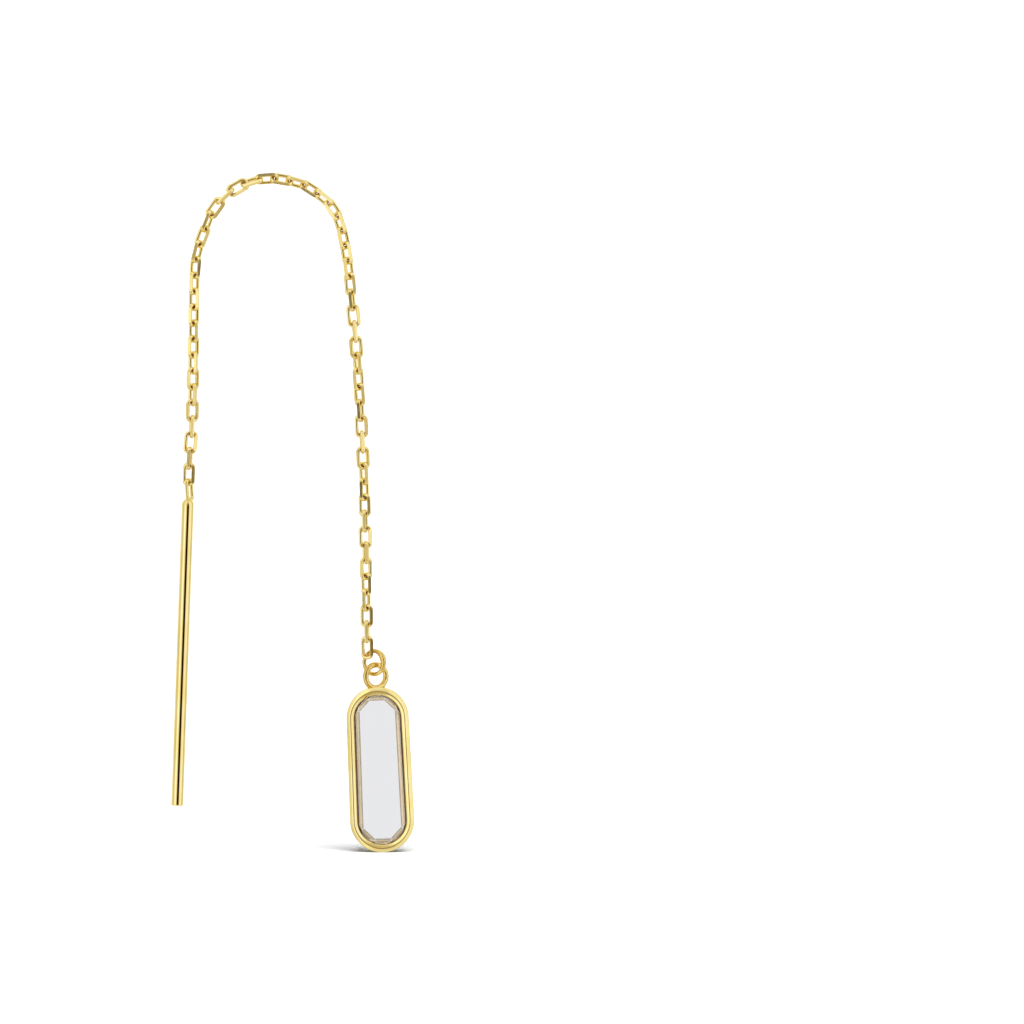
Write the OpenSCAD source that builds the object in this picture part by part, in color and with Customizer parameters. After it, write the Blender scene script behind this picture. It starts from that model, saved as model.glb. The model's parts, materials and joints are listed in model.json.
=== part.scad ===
// Threader earring: a fine link chain draped over the ear, with a round threader bar on its front end
// and a tall crystal pendant on its back end.
// Millimetres. Up is +Z, the front faces -Y, and the origin is the top of the arch, on the chain's centreline.

/* [Chain] */
// Loose links in the chain
link_count = 55; // [48:1:60]
// Wire of the links
link_wire = 0.27; // [0.22:0.01:0.3]
// Width of a link over both sides
link_w = 1.15; // [1.1:0.01:1.3]
// Play between the bows of two links
link_play = 0.15; // [0.14:0.01:0.22]
// Depth of the planed flats on the edges of a link
plane_depth = 0.035; // [0:0.005:0.06]

/* [Drape] */
// Width between the two hanging legs
arch_w = 13.3; // [12:0.1:16]
// Height of the arch above the straight legs
arch_h = 8; // [7.5:0.1:10]
// Drop from the top of the arch to the threader bar's loop
bar_drop = 25.04; // [22:0.1:30]
// Drop from the top of the arch to the jump ring
pendant_drop = 39.35; // [36:0.05:44]

/* [Threader bar] */
// Diameter of the bar
bar_d = 1; // [0.8:0.01:1.2]
// Length of the bar without its solder dome
bar_len = 24.9; // [15:0.05:40]
// Rounded edge at the free end
bar_edge = 0.1; // [0.05:0.01:0.2]
// Lean of the bar towards its free end, in degrees
bar_lean = 2.1; // [0:0.1:6]
// Turn of the soldered loop out of the front view, in degrees
bar_loop_turn = 62; // [55:1:90]

/* [Jump ring] */
// Wire of the jump ring
jump_wire = 0.35; // [0.3:0.01:0.4]
// Outer diameter of the jump ring
jump_d = 2.27; // [2.2:0.01:2.6]
// Turn of the jump ring out of the front view, in degrees
jump_turn = 34; // [30:1:45]

/* [Pendant] */
// Outer diameter of the ring soldered to the bezel
top_ring_d = 2.38; // [2.2:0.01:2.6]
// Wire of the soldered ring
top_ring_wire = 0.48; // [0.4:0.01:0.55]
// Turn of the soldered ring, the other way from the jump ring, in degrees
top_ring_turn = 30; // [24:1:40]
// Lean of the pendant towards its lower end, in degrees
pendant_lean = 2.5; // [0:0.1:6]
// Height of the bezel
bezel_len = 13.65; // [11:0.01:18]
// Width of the bezel at its lower end
bezel_w = 5.3; // [4.6:0.01:7]
// Width of the bezel at its upper end
bezel_top_w = 5.13; // [4.4:0.01:7]
// Depth of the bezel from front to back
bezel_depth = 2; // [1.6:0.05:3]
// Width of the bezel's rounded rim
bezel_rim = 0.66; // [0.5:0.01:0.9]
// Rounding of the rear outer edge
back_edge = 0.2; // [0.1:0.05:0.3]
// Width of the inner ledge that carries the stone
ledge_w = 0.3; // [0.2:0.01:0.4]

/* [Crystal] */
// Clear gap between the flats of the stone and its setting
stone_gap = 0.1; // [0.08:0.01:0.14]
// Drop of the stone's table behind the front of the rim
table_inset = 0.3; // [0.1:0.05:0.5]
// Width of the bevel facets between the girdle and the table
bevel_w = 0.36; // [0.2:0.01:0.5]
// Depth of the bevel facets
bevel_h = 0.3; // [0.15:0.01:0.4]
// Thickness of the stone's upright girdle
girdle_h = 0.35; // [0.2:0.01:0.6]
// Depth of the stone behind its girdle
pavilion_h = 0.45; // [0.2:0.01:0.6]

/* [Hidden] */
$fn = 48;
reach = 2 * (link_w + bezel_depth);  // longer than any cut needs

// Route of the chain from the bar's loop over the arch to the jump ring.
// Columns: side (share of half the arch width), arch (share of the arch height),
// leg (share of that leg's length below the arch).
route_points = [
    [-1.09, 1, 1],
    [-1.075, 1, 0.865],
    [-1.045, 1, 0.685],
    [-1.02, 1, 0.12],
    [-1, 0.865, 0],
    [-0.95, 0.68, 0],
    [-0.88, 0.525, 0],
    [-0.805, 0.365, 0],
    [-0.71, 0.25, 0],
    [-0.575, 0.145, 0],
    [-0.43, 0.07, 0],
    [-0.21, 0.01, 0],
    [0, 0, 0],
    [0.325, 0.06, 0],
    [0.495, 0.145, 0],
    [0.655, 0.255, 0],
    [0.745, 0.365, 0],
    [0.81, 0.52, 0],
    [0.885, 0.835, 0],
    [0.925, 1, 0.04],
    [0.965, 1, 0.125],
    [1.01, 1, 0.25],
    [1.05, 1, 0.38],
    [1.085, 1, 0.54],
    [1.105, 1, 0.715],
    [1.125, 1, 1]
];

// Turn of the links about the chain's own line, as it lies in the photo.
// Columns: share of the chain's length, turn in degrees. Every second link gets a quarter turn more.
twist_points = [
    [0, -24],
    [0.04, 0],
    [0.075, 26],
    [0.16, 41],
    [0.29, 58],
    [0.33, 84],
    [0.37, 114],
    [0.41, 142],
    [0.5, 140],
    [0.57, 126],
    [0.62, 89],
    [0.7, 42],
    [0.76, -8],
    [0.81, -46],
    [0.87, -90],
    [0.93, -140],
    [0.98, -172],
    [1, -156]
];

// Where the links cross: they lie closer where the arch slackens.
// Columns: share of the links, share of the chain's length.
spacing_points = [
    [0, 0],
    [0.309, 0.3125],
    [0.545, 0.5425],
    [1, 1]
];

// Points of the route in millimetres.
bar_leg = bar_drop - arch_h;
pendant_leg = pendant_drop - arch_h;
route = [for (p = route_points)
    [p[0] * arch_w / 2, 0, -p[1] * arch_h - p[2] * (p[0] < 0 ? bar_leg : pendant_leg)]];

// Smooth curve through the route, in short steps.
step_count = 16;
function bend(a, b, c, d, t) = 0.5 * (2 * b + (c - a) * t + (2 * a - 5 * b + 4 * c - d) * t * t
    + (3 * b - a - 3 * c + d) * t * t * t);
function route_at(i) = route[max(0, min(len(route) - 1, i))];
curve = [for (i = [0 : len(route) - 2], k = [0 : step_count - 1])
    bend(route_at(i - 1), route_at(i), route_at(i + 1), route_at(i + 2), k / step_count), route[len(route) - 1]];
function lengths(i = 0, sum = 0) = i >= len(curve) - 1 ? [sum]
    : concat([sum], lengths(i + 1, sum + norm(curve[i + 1] - curve[i])));
along = lengths();
chain_len = along[len(along) - 1];
function curve_axis(j) = [for (i = [0 : len(curve) - 1]) [along[i], curve[i][j]]];
curve_x = curve_axis(0);
curve_z = curve_axis(2);
function on_chain(s) = [lookup(s, curve_x), 0, lookup(s, curve_z)];

// Links: each one spans from one crossing point to the next. All are alike, as long as the widest span asks
// and rounded up to a hundredth.
function knot(i) = on_chain(chain_len * lookup(i / link_count, spacing_points));
link_pitch = max([for (i = [0 : link_count - 1]) norm(knot(i + 1) - knot(i))]);
link_len = ceil(100 * (link_pitch + link_play + 2 * link_wire)) / 100;
bow_r = (link_w - link_wire) / 2;
side_len = link_len - link_w;
planed_w = 2 * (bow_r / sqrt(2) + link_wire / 2 - plane_depth);

// How far the solder covers the bar's loop, as a share of its wire.
solder_cover = 0.08;

// Where the bar and the pendant hang.
bar_knot = knot(0);
ring_knot = knot(link_count);

// Jump ring: it passes through the last link, high on its own left side.
jump_r = (jump_d - jump_wire) / 2;
jump_centre = ring_knot + jump_r * [0.57, 0.26, -0.65];
jump_tilt = 3;
// The pendant hangs from the lowest part of the jump ring and keeps some play.
top_ring_r = (top_ring_d - top_ring_wire) / 2;
ring_play = 0.375 * jump_r;
hang = jump_r + top_ring_r - (jump_wire + top_ring_wire) / 2 - ring_play;
pendant_at = jump_centre + [0.16 * jump_r, 0, -hang];

// Bezel: two end arcs and two straight sides that lean by half the taper.
low_r = bezel_w / 2;
top_r = bezel_top_w / 2;
arc_gap = bezel_len - low_r - top_r;
taper = asin((low_r - top_r) / arc_gap);
side_run = arc_gap * cos(taper);
arc_lap = 0.005;  // how far a side reaches into the end arcs
rim_r = bezel_rim / 2;
front = -bezel_depth / 2;
back = bezel_depth / 2;
ring_sink = 0.675 * top_ring_wire;
bezel_top = -(top_ring_d / 2 - ring_sink);
top_centre = bezel_top - top_r;
low_centre = top_centre - arc_gap;

// Crystal: its table lies behind the front of the rim, and its back in the sloped seat of the ledge.
table_y = front + table_inset;
girdle_front = table_y + bevel_h;
girdle_back = girdle_front + girdle_h;
stone_back = girdle_back + pavilion_h;
seat_y = girdle_back + 1.5 * stone_gap;
seat_inner_y = stone_back + 0.5 * stone_gap;
culet_inset = ledge_w + 0.5 * stone_gap;
corner_share = 0.45;  // how far over the bevel a corner facet reaches

// Corners of the stone, once round from the upper right. Columns: height of the arc's centre, distance of
// the flats from it, direction of the corner and angle from the corner to the flat beside it.
corner_step_top = (90 - taper) / 2;
corner_step_low = (90 + taper) / 2;
stone_corners = concat(
    [for (k = [0.5 : 3.5]) [top_centre, top_r - bezel_rim - stone_gap,
        taper + k * corner_step_top, corner_step_top / 2]],
    [for (k = [0.5 : 3.5]) [low_centre, low_r - bezel_rim - stone_gap,
        180 - taper + k * corner_step_low, corner_step_low / 2]]
);

// One planed link, standing in the XZ plane, its centre at the origin.
module link() {
    intersection() {
        union() {
            for (end = [0, 180])
                rotate([0, end, 0])
                    translate([0, 0, side_len / 2])
                        rotate([90, 0, 0])
                            rotate_extrude(angle = 180)
                                translate([bow_r, 0])
                                    circle(d = link_wire);
            for (side = [-1, 1])
                translate([side * bow_r, 0, -side_len / 2])
                    cylinder(d = link_wire, h = side_len);
        }
        rotate([0, 0, 45])
            cube([planed_w, planed_w, 2 * link_len], center = true);
    }
}

// Link number i between its two crossing points.
module placed_link(i) {
    start = knot(i);
    run = knot(i + 1) - start;
    turn = lookup(i / (link_count - 1), twist_points) + 90 * (i % 2);
    translate(start + run / 2)
        rotate([0, atan2(run[0], run[2]), 0])
            rotate([0, 0, turn])
                link();
}

module ring(outer_d, wire) {
    rotate([90, 0, 0])
        rotate_extrude()
            translate([(outer_d - wire) / 2, 0])
                circle(d = wire);
}

module chain() {
    color([0.93, 0.78, 0.42])
        for (i = [0 : link_count - 1])
            placed_link(i);
}

// Bar with its solder dome and the loop in it, in the bar's own frame.
module threader_bar() {
    loop_z = -link_pitch / 2;
    dome_z = loop_z - link_len / 2 + (1 + solder_cover) * link_wire;
    body_z = dome_z - bar_d / 2;
    color([0.93, 0.78, 0.42])
        translate(bar_knot)
            rotate([0, bar_lean, 0]) {
                translate([0, 0, loop_z])
                    rotate([0, 0, bar_loop_turn])
                        link();
                rotate_extrude() {
                    intersection() {
                        translate([0, body_z])
                            circle(d = bar_d);
                        translate([0, body_z - bar_edge])
                            square(bar_d);
                    }
                    translate([0, body_z - bar_len + bar_edge])
                        square([bar_d / 2, bar_len - bar_edge]);
                    translate([0, body_z - bar_len])
                        square([bar_d / 2 - bar_edge, 2 * bar_edge]);
                    translate([bar_d / 2 - bar_edge, body_z - bar_len + bar_edge])
                        circle(r = bar_edge);
                }
            }
}

module jump_ring() {
    color([0.93, 0.78, 0.42])
        translate(jump_centre)
            rotate([0, jump_tilt, 0])
                rotate([0, 0, -jump_turn])
                    ring(jump_d, jump_wire);
}

// Section of the bezel's wall: x is the distance from the middle line, y runs from front to back.
module wall_section(outer_r) {
    inner_r = outer_r - bezel_rim;
    translate([inner_r + rim_r, front + rim_r])
        circle(r = rim_r);
    translate([inner_r, front + rim_r])
        square([bezel_rim, bezel_depth - rim_r - back_edge]);
    polygon([
        [inner_r, seat_y],
        [outer_r - back_edge, seat_y],
        [outer_r - back_edge, back],
        [inner_r - ledge_w, back],
        [inner_r - ledge_w, seat_inner_y]
    ]);
    translate([outer_r - back_edge, back - back_edge])
        circle(r = back_edge);
}

// Half end of the bezel, its arc longer or shorter by the taper.
module end_arc(outer_r, lean) {
    rotate([90, 0, 0])
        rotate([0, 0, -lean])
            rotate_extrude(angle = 180 + 2 * lean)
                scale([1, -1])
                    wall_section(outer_r);
}

module bezel_side(side) {
    translate([0, 0, low_centre])
        rotate([0, -side * taper, 0])
            scale([side, 1, 1])
                translate([0, 0, -arc_lap])
                    linear_extrude(side_run + 2 * arc_lap)
                        wall_section(low_r);
}

// Solder in the corner between the ring and the rim.
module solder_foot(side) {
    translate([side * top_ring_d / 4, 0, bezel_top])
        sphere(d = 0.8 * top_ring_wire);
}

module bezel() {
    color([0.93, 0.78, 0.42])
        translate(pendant_at)
            rotate([0, -pendant_lean, 0]) {
                rotate([0, 0, top_ring_turn]) {
                    ring(top_ring_d, top_ring_wire);
                    for (side = [-1, 1])
                        solder_foot(side);
                }
                translate([0, 0, top_centre])
                    end_arc(top_r, -taper);
                translate([0, 0, low_centre])
                    rotate([0, 180, 0])
                        end_arc(low_r, taper);
                for (side = [-1, 1])
                    bezel_side(side);
            }
}

// Point on the stone beside corner c: out at distance d behind the flats' own distance, turned off the
// corner by the share t of the angle to the next flat, at depth y.
function stone_point(c, inset, t, y) =
    let (r = (c[1] - inset) / cos(c[3] * (1 - abs(t))), a = c[2] + t * c[3])
        [r * cos(a), y, c[0] + r * sin(a)];

// Where facets meet: two points per corner on the girdle, and one per corner elsewhere.
function girdle_points(y) = [for (c = stone_corners, t = [-0.5, 0.5]) stone_point(c, 0, t, y)];
function ridge_points(inset, y) = [for (c = stone_corners) stone_point(c, inset, 0, y)];

// Faces of one side of the stone, wound one way. The first girdle, ridge and flat points are g, r and f.
function main_facets(g, r, f, n) = [for (i = [0 : n - 1])
    let (k = (i + 1) % n) [g + 2 * i + 1, g + 2 * k, r + k, f + k, f + i, r + i]];
function corner_facets(g, r, n) = [for (i = [0 : n - 1]) [g + 2 * i, g + 2 * i + 1, r + i]];
function face_flat(f, n) = [for (i = [0 : n - 1]) f + i];
function reversed(faces) = [for (face = faces) [for (i = [len(face) - 1 : -1 : 0]) face[i]]];

module crystal() {
    n = len(stone_corners);
    points = concat(
        girdle_points(girdle_front),
        ridge_points(corner_share * bevel_w, girdle_front - corner_share * bevel_h),
        ridge_points(bevel_w, table_y),
        girdle_points(girdle_back),
        ridge_points(corner_share * culet_inset, girdle_back + corner_share * pavilion_h),
        ridge_points(culet_inset, stone_back)
    );
    front_faces = concat(main_facets(0, 2 * n, 3 * n, n), corner_facets(0, 2 * n, n), [face_flat(3 * n, n)]);
    back_faces = concat(main_facets(4 * n, 6 * n, 7 * n, n), corner_facets(4 * n, 6 * n, n),
        [face_flat(7 * n, n)]);
    girdle_faces = [for (i = [0 : 2 * n - 1])
        let (k = (i + 1) % (2 * n)) [i, k, 4 * n + k, 4 * n + i]];
    color([0.85, 0.87, 0.9, 0.5])
        translate(pendant_at)
            rotate([0, -pendant_lean, 0])
                polyhedron(points, concat(reversed(front_faces), girdle_faces, back_faces));
}

chain();
threader_bar();
jump_ring();
bezel();
crystal();
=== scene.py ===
import json
import math
import random

import bmesh
import bpy
import numpy as np
from mathutils import Matrix, Vector


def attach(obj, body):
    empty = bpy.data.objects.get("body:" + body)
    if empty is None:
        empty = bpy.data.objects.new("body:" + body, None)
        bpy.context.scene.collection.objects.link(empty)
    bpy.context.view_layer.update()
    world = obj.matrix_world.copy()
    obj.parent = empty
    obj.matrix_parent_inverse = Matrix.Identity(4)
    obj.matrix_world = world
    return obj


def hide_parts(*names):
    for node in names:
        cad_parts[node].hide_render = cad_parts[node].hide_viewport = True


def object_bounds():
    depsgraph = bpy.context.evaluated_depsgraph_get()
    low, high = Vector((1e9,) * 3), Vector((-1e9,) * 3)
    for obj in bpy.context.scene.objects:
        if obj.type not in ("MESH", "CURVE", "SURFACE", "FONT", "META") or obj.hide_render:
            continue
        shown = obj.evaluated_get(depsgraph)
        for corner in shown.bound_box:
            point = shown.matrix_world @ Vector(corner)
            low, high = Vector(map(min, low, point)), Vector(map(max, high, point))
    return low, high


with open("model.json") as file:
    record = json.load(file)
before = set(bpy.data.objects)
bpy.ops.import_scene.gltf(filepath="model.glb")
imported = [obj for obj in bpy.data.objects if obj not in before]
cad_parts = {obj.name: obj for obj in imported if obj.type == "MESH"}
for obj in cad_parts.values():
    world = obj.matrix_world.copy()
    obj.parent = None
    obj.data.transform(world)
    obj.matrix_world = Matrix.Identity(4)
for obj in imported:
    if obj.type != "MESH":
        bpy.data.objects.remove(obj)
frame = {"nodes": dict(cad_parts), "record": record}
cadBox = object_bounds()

mm = 0.001  # pieces are built in millimetres and placed in metres
inMetres = Matrix.Scale(mm, 4)
scene = bpy.context.scene


# Camera: level with the pendant's middle, far away, in the photograph's frame.
view = {
    "centre": (19.429, 0, -27.514),  # middle of the picture, in millimetres
    "width": 84.48,  # what the picture spans, in millimetres
    "distance": 800,
    "elevation": 2.5,
    "sensor": 36,
    "near": 0.01,  # nearest and farthest that it sees, in metres
    "far": 20,
}


def makeCamera():
    data = bpy.data.cameras.new("studioCamera")
    camera = bpy.data.objects.new("studioCamera", data)
    scene.collection.objects.link(camera)
    up = math.radians(view["elevation"])
    away = Vector((0, -math.cos(up), math.sin(up)))
    data.sensor_width = view["sensor"]
    data.lens = view["sensor"] * view["distance"] / view["width"]
    data.clip_start = view["near"]
    data.clip_end = view["far"]
    camera.location = (Vector(view["centre"]) + away * view["distance"]) * mm
    camera.rotation_euler = (-away).to_track_quat("-Z", "Y").to_euler()
    scene.camera = camera


makeCamera()
print("camera is placed")


class Wire:
    # One socket of a shader. Operators on it add Math nodes, node() adds any other node.
    def __init__(self, tree, socket=None):
        self.tree = tree
        self.socket = socket

    def node(self, kind, settings, inputs, output=0):
        made = self.tree.nodes.new(kind)
        for name, value in settings.items():
            setattr(made, name, value)
        for name, value in inputs.items():
            if isinstance(value, Wire):
                self.tree.links.new(value.socket, made.inputs[name])
            else:
                made.inputs[name].default_value = value
        return Wire(self.tree, made.outputs[output])

    def maths(self, operation, *values):
        return self.node("ShaderNodeMath", {"operation": operation}, dict(enumerate(values)))

    def __add__(self, other):
        return self.maths("ADD", self, other)

    def __radd__(self, other):
        return self.maths("ADD", other, self)

    def __sub__(self, other):
        return self.maths("SUBTRACT", self, other)

    def __rsub__(self, other):
        return self.maths("SUBTRACT", other, self)

    def __mul__(self, other):
        return self.maths("MULTIPLY", self, other)

    def __rmul__(self, other):
        return self.maths("MULTIPLY", other, self)

    def __neg__(self):
        return self.maths("MULTIPLY", self, -1)

    def __abs__(self):
        return self.maths("ABSOLUTE", self)

    def rise(self, low, high):
        # 0 at low, 1 at high, smooth between. low may be the higher number
        return self.node("ShaderNodeMapRange", {"interpolation_type": "SMOOTHSTEP"},
                         {"Value": self, "From Min": low, "From Max": high})

    def tint(self, first, second):
        # The first colour where this value is 0, the second where it is 1. 6 and 7 are colour sockets
        first, second = [c if isinstance(c, Wire) else (*c, 1) for c in (first, second)]
        return self.node("ShaderNodeMix", {"data_type": "RGBA"},
                         {"Factor": self, 6: first, 7: second}, 2)


def shaderStart(owner):
    owner.use_nodes = True
    owner.node_tree.nodes.clear()
    return Wire(owner.node_tree)


def shaderEnd(start, kind, result):
    end = start.tree.nodes.new(kind)
    start.tree.links.new(result.socket, end.inputs["Surface"])


# Studio: a white tent, dark where the camera looks in, with a brighter sheet on either side of that and
# darker walls beyond. Each band has the middle and half width of its azimuth, its lowest and highest
# elevation, a soft edge, all in degrees, and a change of light.
tent = {
    "light": 1.0,
    "bands": {
        "opening": {"azimuth": (9, 18), "elevation": (-15, 15), "edge": 5, "change": -0.66},
        "front": {"azimuth": (5, 27), "elevation": (-57, 57), "edge": 7, "change": -0.33},
        "keyLeft": {"azimuth": (-42, 12), "elevation": (-60, 70), "edge": 8, "change": 0.3},
        "fillRight": {"azimuth": (58, 20), "elevation": (-60, 70), "edge": 8, "change": 0.08},
        "sideLeft": {"azimuth": (-88, 22), "elevation": (-70, 60), "edge": 10, "change": -0.24},
        "sideRight": {"azimuth": (106, 16), "elevation": (-70, 60), "edge": 12, "change": -0.27},
    },
    "below": -0.12,  # change of light in what is reflected from below
    "belowFrom": (10, -40),  # elevations between which it sets in
    "least": 0.01,
    "onFloor": 0.27,  # light of the tent on the floor
    "throughStone": 0.897,  # light that is seen through the stone, the same on every side
    "warmth": (0.3, 0.9),  # how much less green and blue the dark parts have
    "backdrop": 1.06,
}
sunLamp = {"azimuth": 13, "elevation": 50, "angle": 52, "power": 4.5}
floorSheet = {
    "half": 6,  # half of its side, in metres
    "gap": 0.02,  # between it and the pendant, in millimetres
    "grain": 900,  # how fine the paper's grain is
    "colour": (0.93, 0.93, 0.93),
    "paler": (0.96, 0.96, 0.96),
}


def makeTent():
    world = bpy.data.worlds.new("tent")
    scene.world = world
    start = shaderStart(world)
    way = start.node("ShaderNodeTexCoord", {}, {}, "Generated")
    x, y, z = [way.node("ShaderNodeSeparateXYZ", {}, {"Vector": way}, k) for k in range(3)]
    azimuth = x.maths("ARCTAN2", x, -y) * (180 / math.pi)
    elevation = z.maths("ARCSINE", z) * (180 / math.pi)
    light = elevation.rise(*tent["belowFrom"]) * tent["below"] + tent["light"]
    for band in tent["bands"].values():
        middle, half = band["azimuth"]
        low, high = band["elevation"]
        edge = band["edge"]
        across = abs(azimuth - middle).rise(half + edge, half - edge)
        upright = elevation.rise(low - edge, low + edge) * elevation.rise(high + edge, high - edge)
        light = light + across * upright * band["change"]
    # What the camera sees directly, what lights the floor and what the stone lets through
    fromCamera = start.node("ShaderNodeLightPath", {}, {}, "Is Camera Ray")
    bounces = start.node("ShaderNodeLightPath", {}, {}, "Diffuse Depth")
    fromFloor = bounces.maths("MINIMUM", bounces, 1)
    fromStone = start.node("ShaderNodeLightPath", {}, {}, "Is Transmission Ray")
    light = light.maths("MAXIMUM", light, tent["least"])
    light = light * (1 - fromStone) + fromStone
    dark = light.maths("MINIMUM", light, 1) * (1 - fromFloor) + fromFloor
    light = light * (1 - fromStone * (1 - tent["throughStone"]))
    light = light * (1 - fromFloor) + fromFloor * tent["onFloor"]
    light = light * (1 - fromCamera) + fromCamera * tent["backdrop"]
    # Only reflections turn warm in the dark parts
    dark = dark.maths("MAXIMUM", dark, fromCamera)
    green, blue = tent["warmth"]
    tone = start.node("ShaderNodeCombineXYZ", {}, {
        "X": 1.0, "Y": dark.maths("POWER", dark, green), "Z": dark.maths("POWER", dark, blue)})
    glow = start.node("ShaderNodeBackground", {}, {"Color": tone, "Strength": light})
    shaderEnd(start, "ShaderNodeOutputWorld", glow)


def makeLamp():
    lamp = bpy.data.lights.new("sunLamp", "SUN")
    lamp.angle = math.radians(sunLamp["angle"])
    lamp.energy = sunLamp["power"]
    made = bpy.data.objects.new("sunLamp", lamp)
    scene.collection.objects.link(made)
    side = math.radians(sunLamp["azimuth"])
    up = math.radians(sunLamp["elevation"])
    toLamp = Vector((math.sin(side) * math.cos(up), -math.cos(side) * math.cos(up), math.sin(up)))
    made.rotation_euler = toLamp.to_track_quat("Z", "Y").to_euler()
    made.visible_glossy = False


def makeFloor():
    half = floorSheet["half"]
    level = cadBox[0].z - floorSheet["gap"] * mm
    corners = [(-half, -half, level), (half, -half, level), (half, half, level), (-half, half, level)]
    mesh = bpy.data.meshes.new("floorSheet")
    mesh.from_pydata(corners, [], [(0, 1, 2, 3)])
    floor = bpy.data.objects.new("floorSheet", mesh)
    scene.collection.objects.link(floor)
    floor.visible_glossy = False
    floor.visible_transmission = False
    paper = bpy.data.materials.new("whitePaper")
    start = shaderStart(paper)
    place = start.node("ShaderNodeTexCoord", {}, {}, "Object")
    grain = place.node("ShaderNodeTexNoise", {}, {
        "Vector": place, "Scale": floorSheet["grain"], "Detail": 3})
    colour = grain.tint(floorSheet["colour"], floorSheet["paler"])
    sheet = start.node("ShaderNodeBsdfDiffuse", {}, {"Color": colour})
    shaderEnd(start, "ShaderNodeOutputMaterial", sheet)
    mesh.materials.append(paper)


makeTent()
makeLamp()
makeFloor()
scene.view_settings.view_transform = "Standard"
print("studio is lit")


# Gold: bright plated yellow, each finish with its own polish, and the seat, knot and ring finishes
# darker and browner as painted shade. Sizes and depths are in millimetres, and pairs named From are the
# values of the noise between which a change sets in.
gold = {
    "pale": (0.95, 0.81, 0.39),
    "deep": (0.9, 0.74, 0.29),
    "patch": 1.6,  # size of the tone's patches
    "patchFrom": (0.3, 0.7),
    "smear": 0.7,  # size of the smears that dull the polish
    "smearFrom": (0.42, 0.72),
    "grain": 0.03,  # size of the finest marks
    "coarse": 0.55,  # roughness of the noise itself
}
finishes = {
    "goldWire": {
        "rough": 0.14, "roughVary": 0.12, "wave": 0.3, "waveDepth": 0.0035, "grainDepth": 0.0006},
    "goldPlaned": {
        "rough": 0.3, "roughVary": 0.1, "wave": 0.28, "waveDepth": 0.004, "grainDepth": 0.0003},
    "goldBar": {
        "rough": 0.06, "roughVary": 0.05, "wave": 1.4, "waveDepth": 0.002, "grainDepth": 0.0002},
    "goldFrame": {
        "rough": 0.14, "roughVary": 0.07, "wave": 1.1, "waveDepth": 0.004, "grainDepth": 0.0003},
    "goldSeatShaded": {
        "rough": 0.3, "roughVary": 0.12, "wave": 0.5, "waveDepth": 0.004, "grainDepth": 0.001,
        "pale": (0.32, 0.16, 0.035), "deep": (0.17, 0.07, 0.012),  # painted shade: dark brown inside the frame, where shade falls
        "ends": {"middle": -48.8, "from": (5.2, 6.2), "colour": (0.86, 0.68, 0.38)}},  # less painted shade there: paler towards the top and bottom
    # knots: dull where the links rub, and dark brown as painted shade where they interlock
    "goldKnotDullShaded": {
        "rough": 0.26, "roughVary": 0.12, "wave": 0.3, "waveDepth": 0.004, "grainDepth": 0.0008,
        "pale": (0.68, 0.4, 0.11), "deep": (0.4, 0.19, 0.04)},
    # rings and their solder: darker, browner gold as painted shade
    "goldRingShaded": {
        "rough": 0.1, "roughVary": 0.16, "wave": 0.26, "waveDepth": 0.03, "grainDepth": 0.001,
        "pale": (0.9, 0.71, 0.27), "deep": (0.68, 0.47, 0.13)},
    "goldSolder": {
        "rough": 0.16, "roughVary": 0.14, "wave": 0.28, "waveDepth": 0.012, "grainDepth": 0.001},
}


def goldMaterial(name, along=(1, 1, 1)):
    # along: how much finer the smears and the grain are on each axis
    look = finishes[name]
    made = bpy.data.materials.new(name)
    start = shaderStart(made)
    place = start.node("ShaderNodeTexCoord", {}, {}, "Object")

    def cloud(size, detail, stretch=(1, 1, 1)):
        spread = place.node("ShaderNodeVectorMath", {"operation": "MULTIPLY"}, {0: place, 1: stretch})
        return place.node("ShaderNodeTexNoise", {}, {
            "Vector": spread, "Scale": 1 / (size * mm), "Detail": detail, "Roughness": gold["coarse"]})

    patches = cloud(gold["patch"], 3).rise(*gold["patchFrom"])
    colour = patches.tint(look.get("pale", gold["pale"]), look.get("deep", gold["deep"]))
    # A finish with ends turns paler away from the middle height, where its painted shade gives way
    if "ends" in look:
        ends = look["ends"]
        height = place.node("ShaderNodeSeparateXYZ", {}, {"Vector": place}, 2) * (1 / mm)
        colour = abs(height - ends["middle"]).rise(*ends["from"]).tint(colour, ends["colour"])
    smear = cloud(gold["smear"], 5, along)
    roughness = smear.rise(*gold["smearFrom"]) * look["roughVary"] + look["rough"]
    waves = cloud(look["wave"], 2)
    bumped = start.node("ShaderNodeBump", {}, {
        "Height": waves, "Distance": look["waveDepth"] * mm, "Strength": 1.0})
    grain = cloud(gold["grain"], 2, along)
    bumped = start.node("ShaderNodeBump", {}, {
        "Height": grain, "Distance": look["grainDepth"] * mm, "Strength": 1.0, "Normal": bumped})
    metal = start.node("ShaderNodeBsdfPrincipled", {}, {
        "Base Color": colour, "Metallic": 1.0, "Roughness": roughness, "Normal": bumped})
    shaderEnd(start, "ShaderNodeOutputMaterial", metal)
    return made


# Stone: clear and nearly colourless, with a haze of two tints and faint wipe marks.
clear = {
    "tint": (0.955, 0.957, 0.98),
    "deeper": (0.93, 0.934, 0.955),
    "haze": 2.5,  # size of the tint's clouds, in millimetres
    "ior": 1.54,
    "rough": 0.0,
    "wipe": 0.05,  # roughness that the wipe marks add
    "wipeSize": 0.25,
    "wipeFrom": (0.55, 0.8),
}


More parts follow.
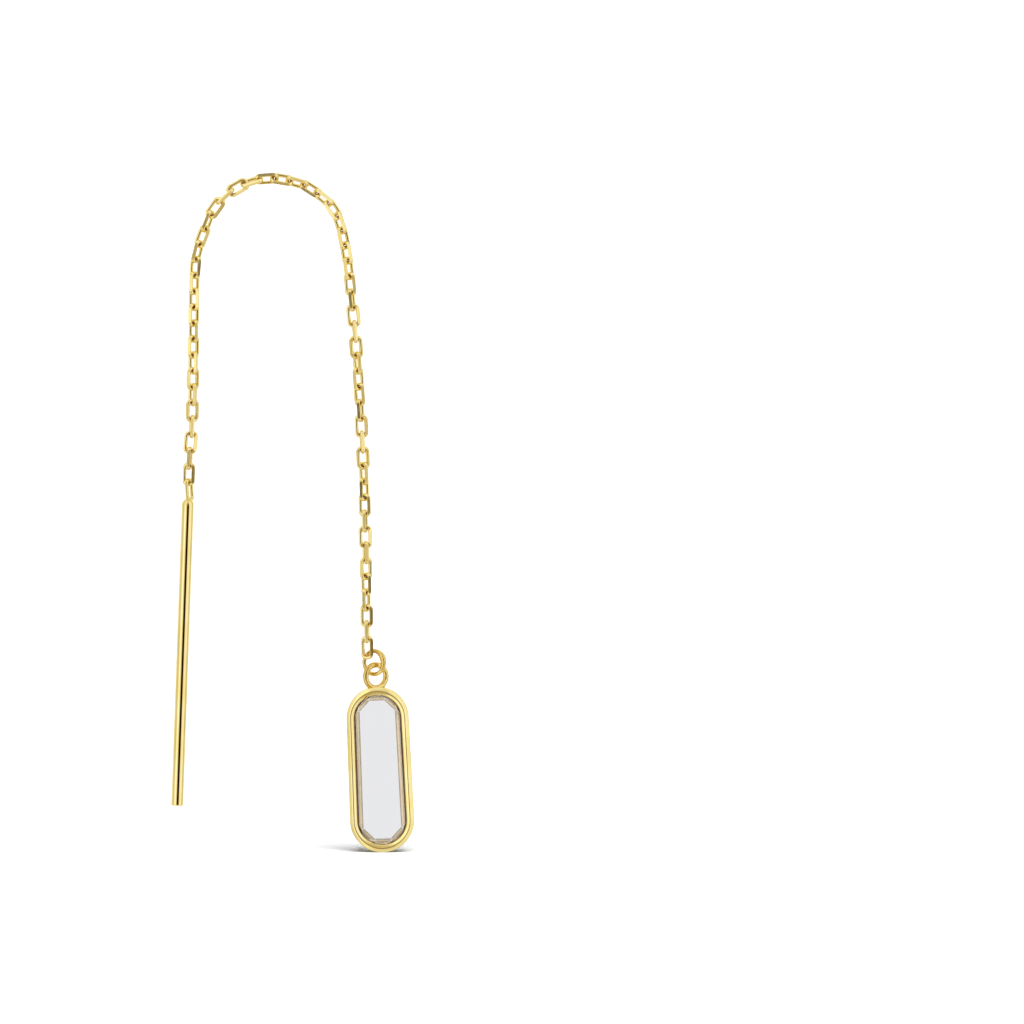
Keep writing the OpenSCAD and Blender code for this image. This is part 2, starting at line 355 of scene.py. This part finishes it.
def stoneMaterial():
    made = bpy.data.materials.new("clearStone")
    start = shaderStart(made)
    place = start.node("ShaderNodeTexCoord", {}, {}, "Object")
    haze = place.node("ShaderNodeTexNoise", {}, {
        "Vector": place, "Scale": 1 / (clear["haze"] * mm), "Detail": 4})
    marks = place.node("ShaderNodeTexNoise", {}, {
        "Vector": place, "Scale": 1 / (clear["wipeSize"] * mm), "Detail": 6})
    colour = haze.tint(clear["tint"], clear["deeper"])
    roughness = marks.rise(*clear["wipeFrom"]) * clear["wipe"] + clear["rough"]
    glass = start.node("ShaderNodeBsdfPrincipled", {}, {
        "Base Color": colour, "Roughness": roughness, "IOR": clear["ior"], "Transmission Weight": 1.0})
    shaderEnd(start, "ShaderNodeOutputMaterial", glass)
    return made


goldWire = goldMaterial("goldWire")
goldPlaned = goldMaterial("goldPlaned", (6, 6, 1))
goldBar = goldMaterial("goldBar", (12, 12, 0.6))
goldFrame = goldMaterial("goldFrame")
goldSeatShaded = goldMaterial("goldSeatShaded")
goldSolder = goldMaterial("goldSolder")
goldKnotDullShaded = goldMaterial("goldKnotDullShaded")
goldRingShaded = goldMaterial("goldRingShaded")
clearStone = stoneMaterial()
print("materials are made")


def piece(name, mesh, placement, materials, body, node):
    # One finished piece: placed, with its materials, on its body, in place of its node
    mesh.transform(placement)
    for material in materials:
        mesh.materials.append(material)
    made = bpy.data.objects.new(name, mesh)
    scene.collection.objects.link(made)
    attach(made, body)
    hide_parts(node)


def meshFrom(bm, name):
    bm.normal_update()
    mesh = bpy.data.meshes.new(name)
    bm.to_mesh(mesh)
    bm.free()
    return mesh


def turn(degrees, axis):
    return Matrix.Rotation(math.radians(degrees), 4, axis)


def anglesRound(count):
    return [2 * math.pi * k / count for k in range(count)]


def grid(bm, rows, closedAlong=True):
    # Smooth quads between neighbouring rows of points, each row closed round
    verts = [[bm.verts.new(p) for p in row] for row in rows]
    count = len(rows[0])
    for i in range(len(rows) if closedAlong else len(rows) - 1):
        near = verts[i]
        far = verts[(i + 1) % len(rows)]
        for k in range(count):
            n = (k + 1) % count
            bm.faces.new((near[k], near[n], far[n], far[k])).smooth = True
    return verts


def spokes(out, sides):
    # Directions round a wire that lies in the XZ plane, each with its angle from the outward one
    return [(a, math.cos(a) * out + math.sin(a) * Vector((0, 1, 0))) for a in anglesRound(sides)]


def wireRows(path, wireR, sides):
    # Rings of points round a flat closed path of (point, outward direction)
    return [[point + wireR * way for a, way in spokes(out, sides)] for point, out in path]


def ringPath(ringR, steps):
    path = []
    for a in anglesRound(steps):
        out = Vector((math.cos(a), 0, math.sin(a)))
        path.append((ringR * out, out))
    return path


def loosePieces(node):
    # The separate solids of a CAD node, each as triangles x corners x 3, in millimetres
    mesh = frame["nodes"][node].data
    mesh.calc_loop_triangles()
    points = np.array([v.co for v in mesh.vertices]) / mm
    triangles = np.array([t.vertices for t in mesh.loop_triangles])
    weld = {}  # points within 0.0001 mm are one
    same = np.array([weld.setdefault(tuple(np.round(p, 4)), i) for i, p in enumerate(points)])
    triangles = same[triangles]
    label = np.arange(len(points))
    while True:  # each triangle hands its lowest label on, until none changes
        low = label[triangles].min(axis=1)
        before = label.copy()
        for k in range(3):
            np.minimum.at(label, triangles[:, k], low)
        label = label[label]
        if (label == before).all():
            break
    home = label[triangles[:, 0]]
    return [points[triangles[home == h]] for h in np.unique(home)]


def wedgeVolumes(solid):
    # Signed volumes of the wedges between the origin and each triangle
    return np.einsum("ij,ij->i", solid[:, 0], np.cross(solid[:, 1], solid[:, 2])) / 6


def ownAxes(solid):
    # Middle and axes of a solid, the longest first, from its volume: sums over its wedges
    volumes = wedgeVolumes(solid)
    middle = (volumes[:, None] * solid.sum(axis=1) / 4).sum(axis=0) / volumes.sum()
    corners = solid - middle
    volumes = wedgeVolumes(corners)
    spread = np.zeros((3, 3))
    for k in range(3):
        spread += np.einsum("i,ij,ik->jk", volumes, corners[:, k], corners[:, k])
    sums = corners.sum(axis=1)
    spread += np.einsum("i,ij,ik->jk", volumes, sums, sums)
    axes = np.linalg.eigh(spread / 20)[1]
    return middle, axes[:, ::-1].T


def ownFrame(solid, isRing=False):
    # Placement and size of a solid: Y along its thinnest way, Z along its length, or up for a ring
    middle, (long, wide, thin) = ownAxes(solid)
    if isRing:
        long = np.array((0, 0, 1)) - thin[2] * thin
        long /= np.linalg.norm(long)
    if long[2] < 0:
        long = -long
    if thin[1] < 0:
        thin = -thin
    wide = np.cross(thin, long)
    local = (solid.reshape(-1, 3) - middle) @ np.array([wide, thin, long]).T
    size = local.max(axis=0) - local.min(axis=0)
    placement = Matrix([[wide[k], thin[k], long[k], middle[k]] for k in range(3)] + [[0, 0, 0, 1]])
    return placement, size


# Links: wire bent to a long oval with squarish ends, four planed flats along its edges, and bows that
# are dull inside, where the links rub, and dark brown there as painted shade.
link = {
    "wire": 0.34,
    "shorter": 0.01,  # than the solids, which keep a gap at their ends
    "square": 2.5,  # 2 would make the ends half round
    "planeDepth": 0.043,
    "planeVary": 0.012,
    "planeSnap": 1e-5,  # points this near to a cut lie on it
    "askew": 17,  # degrees that most flats are turned off the corner
    "askewVary": 4,
    "straight": [10, 14, 22, 23, 25, 38, 44, 45, 51],  # links whose flats are on the corner
    "dullShadedFrom": 0.6,  # share of a bow's height from which its inside is dull and carries painted shade
    "dullShadedSide": -0.25,  # cosine of the angle round the wire, below which it is the inside
    "bowSteps": 18,
    "sideSteps": 3,
    "sides": 20,
    "seed": 7,
}
linkSolids = [ownFrame(solid) for solid in loosePieces("chain")]
linkWidth = max(size[0] for placement, size in linkSolids)
linkLength = max(size[2] for placement, size in linkSolids)
visibleLength = linkLength - link["shorter"]
print(len(linkSolids), "links,", round(linkWidth, 4), "wide,", round(linkLength, 4), "long")


def linkPath(bowR, straight):
    # Once round a link: (point, outward direction), and for each point whether the next link rubs
    # there, which is where the inside is dull and painted shaded
    power = link["square"]
    path = []
    dullShaded = []
    for end in (1, -1):
        for k in range(link["bowSteps"] + 1):
            a = math.pi * k / link["bowSteps"]
            across = math.cos(a)
            up = math.sin(a)
            reach = bowR / (abs(across) ** power + up ** power) ** (1 / power)
            slope = math.copysign(abs(across) ** (power - 1), across)
            out = Vector((slope, 0, up ** (power - 1))).normalized()
            path.append((end * Vector((reach * across, 0, reach * up + straight)), end * out))
            dullShaded.append(up > link["dullShadedFrom"])
        for k in range(1, link["sideSteps"]):
            share = 1 - 2 * k / link["sideSteps"]
            path.append((Vector((-end * bowR, 0, end * straight * share)), Vector((-end, 0, 0))))
            dullShaded.append(False)
    return path, dullShaded


def linkMesh(length, width, flats):
    # A link in its own frame, in millimetres. Its materials: wire, planed flats, dull insides with
    # painted shade
    bm = bmesh.new()
    bowR = (width - link["wire"]) / 2
    path, dullShaded = linkPath(bowR, (length - width) / 2)
    grid(bm, wireRows(path, link["wire"] / 2, link["sides"]))
    bm.faces.ensure_lookup_table()
    for number, face in enumerate(bm.faces):
        row, side = divmod(number, link["sides"])
        toOutside = math.cos(2 * math.pi * (side + 0.5) / link["sides"])
        # the bows' insides: dull, with painted shade
        if dullShaded[row] and toOutside < link["dullShadedSide"]:
            face.material_index = 2
    bmesh.ops.recalc_face_normals(bm, faces=bm.faces)
    for direction, depth in flats:
        a = math.radians(direction)
        out = Vector((math.cos(a), math.sin(a), 0))
        reach = bowR * abs(math.cos(a)) + link["wire"] / 2 - depth
        everything = list(bm.verts) + list(bm.edges) + list(bm.faces)
        bmesh.ops.bisect_plane(bm, geom=everything, dist=link["planeSnap"], plane_co=out * reach,
                               plane_no=out, clear_outer=True)
        rims = [e for e in bm.edges if e.is_boundary]
        for face in bmesh.ops.holes_fill(bm, edges=rims, sides=0)["faces"]:
            face.material_index = 1
            face.smooth = False
            for edge in face.edges:
                edge.smooth = False
    bmesh.ops.triangulate(bm, faces=[f for f in bm.faces if len(f.verts) > 4])
    return bm


def linkFlats(askew, draw):
    # Direction in degrees and depth in millimetres of the four flats
    flats = []
    for k in range(4):
        direction = 45 + 90 * k - askew + draw.uniform(-1, 1) * link["askewVary"]
        depth = link["planeDepth"] + draw.uniform(-1, 1) * link["planeVary"]
        flats.append((direction, depth))
    return flats


def makeChain():
    whole = bmesh.new()
    draw = random.Random(link["seed"])
    for number, (placement, size) in enumerate(linkSolids, 1):
        askew = 0 if number in link["straight"] else link["askew"]
        mesh = meshFrom(linkMesh(visibleLength, linkWidth, linkFlats(askew, draw)), "link")
        mesh.transform(placement)
        whole.from_mesh(mesh)
        bpy.data.meshes.remove(mesh)
    materials = [goldWire, goldPlaned, goldKnotDullShaded]
    piece("linkChain", meshFrom(whole, "linkChain"), inMetres, materials, "chain_side", "chain")


makeChain()
print("chain is linked")


# Jump ring: plain round wire, swollen and dented where the pliers closed it. Angles are in degrees and
# depths in millimetres.
jumpRing = {
    "steps": 180,
    "sides": 28,
    "slim": 0.98,  # share of the solid's wire
    "swell": {"angle": 22, "half": 38, "share": 0.56},
    "dents": {"angles": [-4, 7, 18, 29, 40], "half": 3.2, "depth": 0.034, "lobes": 3, "slant": 0.05},
    "seam": {"angle": 12.5, "half": 1.2, "depth": 0.05},
}


def hump(angle, middle, half):
    near = ((angle - middle + 180) % 360 - 180) / half
    return math.exp(-near * near)


def makeJumpRing():
    placement, size = ownFrame(loosePieces("jump_ring")[0], isRing=True)
    wireR = float(size[1]) / 2
    ringR = float(size[2]) / 2 - wireR
    swell = jumpRing["swell"]
    dents = jumpRing["dents"]
    seam = jumpRing["seam"]
    bm = bmesh.new()
    rows = []
    for point, out in ringPath(ringR, jumpRing["steps"]):
        angle = math.degrees(math.atan2(point.z, point.x))
        wide = wireR * (jumpRing["slim"] + swell["share"] * hump(angle, swell["angle"], swell["half"]))
        wide -= seam["depth"] * hump(angle, seam["angle"], seam["half"])
        dent = sum(hump(angle, middle, dents["half"]) for middle in dents["angles"]) * dents["depth"]
        row = []
        for a, way in spokes(out, jumpRing["sides"]):
            pressed = 0.5 + 0.5 * math.sin(dents["lobes"] * a + dents["slant"] * angle)
            row.append(point + (wide - dent * pressed) * way)
        rows.append(row)
    grid(bm, rows)
    bmesh.ops.recalc_face_normals(bm, faces=bm.faces)
    mesh = meshFrom(bm, "jumpRing")
    piece("jumpRing", mesh, inMetres @ placement, [goldRingShaded], "chain_side", "jump_ring")


makeJumpRing()
print("jump ring is closed")


# Solder: overlapping parts and balls under one skin. The pairs say how fine the skin is, in
# millimetres, and how often it is smoothed.
solder = {
    "onBar": (0.018, 4),
    "onFrame": (0.022, 3),
    "ballSides": 20,
    "ballRings": 12,
}


def baked(made):
    # The object's mesh with its modifiers applied
    bpy.context.view_layer.update()
    return bpy.data.meshes.new_from_object(made.evaluated_get(bpy.context.evaluated_depsgraph_get()))


def fused(name, parts):
    # One closed solid from overlapping ones
    objects = []
    for mesh in parts:
        made = bpy.data.objects.new(name, mesh)
        scene.collection.objects.link(made)
        objects.append(made)
    for other in objects[1:]:
        join = objects[0].modifiers.new("join", "BOOLEAN")
        join.operation = "UNION"
        join.solver = "EXACT"
        join.object = other
    done = baked(objects[0])
    for made in objects:
        bpy.data.objects.remove(made)
    return done


def softened(mesh, voxel, smoothing):
    # The mesh as one skin in the second material, its creases filled as solder fills them
    made = bpy.data.objects.new("soft", mesh)
    scene.collection.objects.link(made)
    skin = made.modifiers.new("skin", "REMESH")
    skin.mode = "VOXEL"
    skin.voxel_size = voxel
    ease = made.modifiers.new("ease", "SMOOTH")
    ease.factor = 0.5
    ease.iterations = smoothing
    done = baked(made)
    bpy.data.objects.remove(made)
    for polygon in done.polygons:
        polygon.use_smooth = True
        polygon.material_index = 1
    return done


def addBall(bm, radius, placement):
    bmesh.ops.create_uvsphere(bm, u_segments=solder["ballSides"], v_segments=solder["ballRings"],
                              radius=radius, matrix=placement)


def turned(profile, sides):
    # A solid of revolution about Z from (radius, height) points, with a flat face at either end
    bm = bmesh.new()
    circle = anglesRound(sides)
    rows = [[(radius * math.cos(a), radius * math.sin(a), height) for a in circle]
            for radius, height in profile]
    verts = grid(bm, rows, closedAlong=False)
    for ends in (verts[0], verts[-1]):
        bm.faces.new(ends)
    bmesh.ops.recalc_face_normals(bm, faces=bm.faces)
    return bm


# Threader bar: round rod, a solder dome on its top and one link caught in the dome. The pairs say how
# far inside the rod's wall a point lies, and its height from the rod's top end.
bar = {
    "edge": 0.1,  # rounding of the free end
    "endFace": 0.02,  # narrow ring of faces that keeps the free end flat
    "crisp": 0.03,  # distance from either end of the rings that keep the wall straight
    "topEdge": [(0, -0.005), (0.02, 0.012)],
    "collar": [(0.05, -0.12), (0.02, -0.05)],  # foot of the dome, sunk into the rod
    "crown": 0.02,  # radius of the dome's topmost ring
    "loopTurn": 62,
    "loopLean": 6,  # its foot is soldered off the middle
    "loopSeed": 3,
    "solderCover": 0.08,  # of the loop's wire, as in the solid
    "solidWire": 0.27,  # the wire of the solid's loop
    "drop": {"radius": 0.17, "height": 0.06},  # solder in the foot of the loop, above the dome
    "sides": 64,
    "domeSides": 48,
    "rings": 40,
}


def rodProfile(radius, reach):
    edge = bar["edge"]
    crisp = bar["crisp"]
    corner = [math.radians(degrees) for degrees in range(0, 91, 15)]
    points = [(radius - edge - bar["endFace"], -reach - edge)]
    points += [(radius - edge + edge * math.sin(a), -reach - edge * math.cos(a)) for a in corner]
    points.append((radius, crisp - reach))
    points += [(radius, -reach * (1 - k / bar["rings"])) for k in range(1, bar["rings"])]
    points.append((radius, -crisp))
    return points + [(radius - inset, height) for inset, height in bar["topEdge"]]


def domeProfile(radius):
    quarter = [math.radians(degrees) for degrees in range(0, 85, 6)]
    points = [(radius - inset, height) for inset, height in bar["collar"]]
    points += [(radius * math.cos(a), radius * math.sin(a)) for a in quarter]
    return points + [(bar["crown"], radius)]


def barLoop(radius):
    # The link in the dome, leaning about its upper bow
    loopAt = radius + linkLength / 2 - (1 + bar["solderCover"]) * bar["solidWire"]
    loop = linkMesh(visibleLength, linkWidth, linkFlats(0, random.Random(bar["loopSeed"])))
    bow = (visibleLength - link["wire"]) / 2
    placed = Matrix.Translation((0, 0, loopAt + bow)) @ turn(-bar["loopLean"], "Y")
    placed = placed @ Matrix.Translation((0, 0, -bow)) @ turn(bar["loopTurn"], "Z")
    bmesh.ops.transform(loop, verts=loop.verts, matrix=placed)
    return meshFrom(loop, "loop")


def makeBar():
    pin = next(m for m in frame["record"]["mounts"] if m["name"] == "threader_pin")
    down = Vector(pin["axis"])
    radius = pin["dims"]["r_mm"]
    reach = pin["dims"]["length_mm"]
    top = Vector(pin["pos_m"]) / mm - down * reach / 2
    upright = Vector((0, 0, 1)).rotation_difference(-down).to_matrix().to_4x4()
    placement = inMetres @ (Matrix.Translation(top) @ upright)
    rod = meshFrom(turned(rodProfile(radius, reach), bar["sides"]), "rod")
    blob = turned(domeProfile(radius), bar["domeSides"])
    drop = bar["drop"]
    addBall(blob, drop["radius"], Matrix.Translation((0, 0, radius + drop["height"])))
    blob.from_mesh(barLoop(radius))
    head = softened(meshFrom(blob, "blob"), *solder["onBar"])
    mesh = fused("threadBar", [rod, head])
    piece("threadBar", mesh, placement, [goldBar, goldSolder], "bar", "threader_bar")


makeBar()
print("bar is soldered")


# Pendant: the frame and the stone, in millimetres, their outer sizes as in the solids they replace.
pendant = {
    "length": 13.65,
    "width": 5.3,
    "topWidth": 5.13,
    "depth": 2,
    "rim": 0.66,
    "lip": 0.61,  # where the rim's inner flank ends, above the wall that leans in to the stone
    "backEdge": 0.2,
    "ledge": 0.3,
    "crest": 0.33,  # distance of the rim's crest from the outside
    "crestSoft": 0.036,
    "roof": (0.66, 0.52),  # slope of the rim's outer and inner flank
    "rimEdge": 0.05,  # rounding where the flanks turn down
    "rimTurn": [(0, 1.5), (0.3, 0.5)],  # its points, as shares of it: from the wall, and down
    "seatEdge": 0.03,
    "sharp": 40,  # edges above this angle are not smoothed
    "ringWidth": 2.38,
    "ringWire": 0.48,
    "ringTurn": 30,
    "ringSink": 0.675,  # share of its wire
    "ringSteps": 96,
    "ringSides": 24,
    "fillet": 0.4,  # balls of solder at the ring's foot, as a share of its wire
    "drop": {  # solder that ran onto the rim
        "angle": 117, "inset": 0.56, "radius": 0.13, "long": 2.2, "flat": 0.7},
    "arcSteps": 56,
    "sideSteps": 24,
    "flankSteps": 28,
    "backSteps": 8,
}
stone = {
    "gap": 0.1,
    "tableInset": 0.3,
    "bevelWidth": 0.36,
    "bevelDepth": 0.3,
    "girdle": 0.35,
    "pavilion": 0.45,
    "cornerShare": 0.45,
    "edge": 0.02,  # softened facet edges
}
lowR = pendant["width"] / 2
topR = pendant["topWidth"] / 2
frameTop = pendant["ringSink"] * pendant["ringWire"] - pendant["ringWidth"] / 2
topCentre = frameTop - topR
lowCentre = frameTop - pendant["length"] + lowR
taper = math.asin((lowR - topR) / (topCentre - lowCentre))
front = -pendant["depth"] / 2
back = pendant["depth"] / 2
tableY = front + stone["tableInset"]
girdleFront = tableY + stone["bevelDepth"]
girdleBack = girdleFront + stone["girdle"]
stoneBack = girdleBack + stone["pavilion"]
seatY = girdleBack + 1.5 * stone["gap"]
seatInnerY = stoneBack + 0.5 * stone["gap"]


def findPendant():
    # Where the ring's centre is and how the pendant leans, from the stone's solid
    solid = np.concatenate(loosePieces("crystal"))
    long = ownAxes(solid)[1][0]
    if long[2] < 0:
        long = -long
    spin = turn(math.degrees(math.atan2(long[0], long[2])), "Y")
    local = solid.reshape(-1, 3) @ np.array(spin.to_3x3())
    high = topCentre + topR - pendant["rim"] - stone["gap"]
    low = lowCentre - lowR + pendant["rim"] + stone["gap"]
    lowest = local.min(axis=0)
    highest = local.max(axis=0)
    across = (lowest[0] + highest[0]) / 2
    up = (lowest[2] + highest[2] - low - high) / 2
    return spin @ Matrix.Translation(Vector((across, lowest[1] - tableY, up)))


pendantPlace = findPendant()
print("pendant leans", round(math.degrees(pendantPlace.to_euler().y), 3), "at",
      [round(v, 4) for v in pendantPlace.translation])


def framePath():
    # Round the frame once: (point on the outer wall, direction to the outside)
    arcs = [(topCentre, topR, taper, math.pi - taper),
            (lowCentre, lowR, math.pi - taper, 2 * math.pi + taper)]
    stations = []
    for centre, radius, start, end in arcs:
        for k in range(pendant["arcSteps"] + 1):
            a = start + (end - start) * k / pendant["arcSteps"]
            out = Vector((math.cos(a), 0, math.sin(a)))
            stations.append((Vector((0, 0, centre)) + radius * out, out))
    path = []
    for (point, out), (nextPoint, nextOut) in zip(stations, stations[1:] + stations[:1]):
        path.append((point, out))
        isSide = (nextPoint - point).length > 1  # steps of an arc are shorter
        for k in range(1, pendant["sideSteps"] if isSide else 1):
            path.append((point.lerp(nextPoint, k / pendant["sideSteps"]), out))
    return path


def roofDepth(inset):
    # Depth of the rim's flanks behind its crest
    outer, inner = pendant["roof"]
    away = (inset - pendant["crest"]) * (outer if inset < pendant["crest"] else inner)
    return math.sqrt(away * away + pendant["crestSoft"] ** 2) - pendant["crestSoft"]


def frameSection():
    # The frame's wall: (distance from the outside, depth), once round
    rim = pendant["rim"]
    lip = pendant["lip"]
    ledge = pendant["ledge"]
    edge = pendant["rimEdge"]
    steps = pendant["flankSteps"]
    outerEnd = front + roofDepth(edge)
    innerEnd = front + roofDepth(lip - edge)
    points = [(aside * edge, outerEnd + down * edge) for aside, down in pendant["rimTurn"]]
    for k in range(steps + 1):
        inset = edge + (lip - 2 * edge) * k / steps
        points.append((inset, front + roofDepth(inset)))
    turnIn = reversed(pendant["rimTurn"])
    points += [(lip - aside * edge, innerEnd + down * edge) for aside, down in turnIn]
    soft = pendant["seatEdge"]
    points += [(rim, seatY - soft), (rim + soft, seatY + soft),
               (rim + ledge - soft, seatInnerY - soft), (rim + ledge, seatInnerY + soft),
               (rim + ledge, back - soft), (rim + ledge - soft, back), (rim, back)]
    edge = pendant["backEdge"]
    for k in range(pendant["backSteps"] + 1):
        a = math.pi / 2 * k / pendant["backSteps"]
        points.append((edge - edge * math.sin(a), back - edge + edge * math.cos(a)))
    return points


def frameBody():
    # The open frame, its inside in the seat's material, which carries painted shade
    bm = bmesh.new()
    section = frameSection()
    grid(bm, [[point - out * inset + Vector((0, depth, 0)) for inset, depth in section]
              for point, out in framePath()])
    inside = [inset >= pendant["lip"] and depth < back for inset, depth in section]
    bm.faces.ensure_lookup_table()
    for number, face in enumerate(bm.faces):
        # the inside faces take the seat's painted shade
        if inside[number % len(section)]:
            face.material_index = 2
    bmesh.ops.recalc_face_normals(bm, faces=bm.faces)
    return meshFrom(bm, "body")


def frameSolder():
    # The ring on the frame's top with its solder, and the drop that ran onto the rim
    wireR = pendant["ringWire"] / 2
    bm = bmesh.new()
    path = ringPath(pendant["ringWidth"] / 2 - wireR, pendant["ringSteps"])
    grid(bm, wireRows(path, wireR, pendant["ringSides"]))
    for side in (-1, 1):
        foot = Matrix.Translation((side * pendant["ringWidth"] / 4, 0, frameTop))
        addBall(bm, pendant["fillet"] * pendant["ringWire"], foot)
    bmesh.ops.transform(bm, verts=bm.verts, matrix=turn(pendant["ringTurn"], "Z"))
    drop = pendant["drop"]
    spot = Matrix.Translation((0, 0, topCentre)) @ turn(90 - drop["angle"], "Y")
    spot = spot @ Matrix.Translation((0, front + roofDepth(drop["inset"]), topR - drop["inset"]))
    addBall(bm, drop["radius"], spot @ Matrix.Diagonal((drop["long"], drop["flat"], 1, 1)))
    bmesh.ops.recalc_face_normals(bm, faces=bm.faces)
    return softened(meshFrom(bm, "eye"), *solder["onFrame"])


def makeFrame():
    mesh = fused("stoneFrame", [frameBody(), frameSolder()])
    mesh.set_sharp_from_angle(angle=math.radians(pendant["sharp"]))
    materials = [goldFrame, goldRingShaded, goldSeatShaded]
    piece("stoneFrame", mesh, inMetres @ pendantPlace, materials, "pendant", "bezel")


makeFrame()
print("frame is soldered")


def stoneCorners():
    # Once round: height of the arc's centre, distance of the flats, direction, angle to the next flat
    corners = []
    lean = math.degrees(taper)
    arcs = [(topCentre, topR, lean, (90 - lean) / 2), (lowCentre, lowR, 180 - lean, (90 + lean) / 2)]
    for centre, radius, start, step in arcs:
        flat = radius - pendant["rim"] - stone["gap"]
        for k in range(4):
            corners.append((centre, flat, start + (k + 0.5) * step, step / 2))
    return corners


def stonePoint(corner, inset, share, depth):
    centre, flat, direction, half = corner
    radius = (flat - inset) / math.cos(math.radians(half * (1 - abs(share))))
    a = math.radians(direction + share * half)
    return Vector((radius * math.cos(a), depth, centre + radius * math.sin(a)))


# The bevel of the stone: the gold behind it, seen through it, is painted on as a sandy tone, a painted
# reflection, with painted shade beside the table and painted light beside the wall.
# Depths and sizes are in millimetres.
bevel = {
    "outer": (1.0, 0.83, 0.54),  # painted light: paler beside the wall, where less light reaches
    "light": (0.66, 0.54, 0.33),  # painted reflection: sand, from the gold behind it
    "shade": (0.27, 0.225, 0.17),  # painted shade beside the table
    "lightFrom": (0.38, 0.48),  # depths behind the frame's front where the shade turns to sand
    "outerFrom": (0.48, 0.58),
    "fleck": 0.5,
    "ragged": 0.08,  # how far the flecks shift those depths
    "rough": 0.22,
    "clear": 0.4,  # share of the light that passes
}


def bevelMaterial():
    made = bpy.data.materials.new("stoneBevel")
    start = shaderStart(made)
    place = start.node("ShaderNodeTexCoord", {}, {}, "Object")
    depth = place.node("ShaderNodeSeparateXYZ", {}, {"Vector": place}, 1) * (1 / mm)
    flecks = place.node("ShaderNodeTexNoise", {}, {
        "Vector": place, "Scale": 1 / (bevel["fleck"] * mm), "Detail": 4})
    nearest = front + pendantPlace.translation.y
    ragged = depth + flecks * bevel["ragged"] - nearest
    # Painted shade beside the table, the gold's painted reflection as sand further out, and painted
    # light beside the wall
    colour = ragged.rise(*bevel["lightFrom"]).tint(bevel["shade"], bevel["light"])
    colour = ragged.rise(*bevel["outerFrom"]).tint(colour, bevel["outer"])
    sand = start.node("ShaderNodeBsdfPrincipled", {}, {
        "Base Color": colour, "Roughness": bevel["rough"], "IOR": clear["ior"],
        "Transmission Weight": bevel["clear"]})
    shaderEnd(start, "ShaderNodeOutputMaterial", sand)
    return made


def makeStone():
    corners = stoneCorners()
    bm = bmesh.new()

    def ring(inset, depth, shares):
        return [bm.verts.new(stonePoint(c, inset, s, depth)) for c in corners for s in shares]

    share = stone["cornerShare"]
    keep = pendant["ledge"] + 0.5 * stone["gap"]
    ends = (-0.5, 0.5)  # of a corner, in shares of the way to the next flat
    girdles = [ring(0, girdleFront, ends), ring(0, girdleBack, ends)]
    ridges = [ring(share * stone["bevelWidth"], girdleFront - share * stone["bevelDepth"], (0,)),
              ring(share * keep, girdleBack + share * stone["pavilion"], (0,))]
    flats = [ring(stone["bevelWidth"], tableY, (0,)), ring(keep, stoneBack, (0,))]
    count = len(corners)
    for side, (girdle, ridge, flat) in enumerate(zip(girdles, ridges, flats)):
        for i in range(count):
            n = (i + 1) % count
            outline = (girdle[2 * i + 1], girdle[2 * n], ridge[n], flat[n], flat[i], ridge[i])
            main = bm.faces.new(outline)
            corner = bm.faces.new((girdle[2 * i], girdle[2 * i + 1], ridge[i]))
            main.material_index = corner.material_index = 1 - side
        bm.faces.new(flat)
    for i in range(2 * count):
        n = (i + 1) % (2 * count)
        bm.faces.new((girdles[0][i], girdles[0][n], girdles[1][n], girdles[1][i]))
    bmesh.ops.recalc_face_normals(bm, faces=bm.faces)
    bmesh.ops.bevel(bm, geom=list(bm.edges), offset=stone["edge"], segments=1, affect="EDGES",
                    profile=0.5)
    materials = [clearStone, bevelMaterial()]
    mesh = meshFrom(bm, "cutStone")
    piece("cutStone", mesh, inMetres @ pendantPlace, materials, "pendant", "crystal")


makeStone()
print("stone is set")
